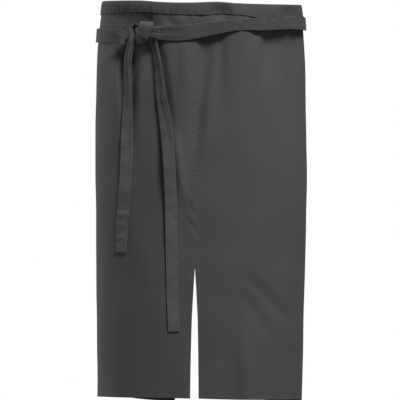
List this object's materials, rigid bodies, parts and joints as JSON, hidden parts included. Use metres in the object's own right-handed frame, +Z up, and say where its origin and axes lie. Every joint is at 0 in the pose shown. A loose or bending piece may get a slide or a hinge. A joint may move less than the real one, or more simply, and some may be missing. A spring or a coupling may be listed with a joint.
{
  "type": "long waist apron",
  "caption": "Long waist apron in charcoal twill, wrapped as worn: panels with a lapped front seam and walking split, folded waistband, and flat ties crossed behind and half-knotted in front.",
  "frame": {"origin": "middle of the waist opening, level with the top of the waistband", "axes": "+Z up out of the waist opening, front towards -Y, the viewer's right towards +X"},
  "size_m": [0.4272, 0.2962, 0.813],
  "materials": {
    "panel_cloth": "charcoal twill, matt, single layer with sewn hems",
    "band_cloth": "charcoal twill, matt, folded strip sewn down along its lower edge",
    "tie_cloth": "charcoal twill, matt, folded and edge-stitched tie"
  },
  "bodies": {
    "root": {"panel_left": "panel_cloth", "panel_right": "panel_cloth", "waistband": "band_cloth", "tie_left": "tie_cloth", "tie_right": "tie_cloth"}
  },
  "joints": []
}
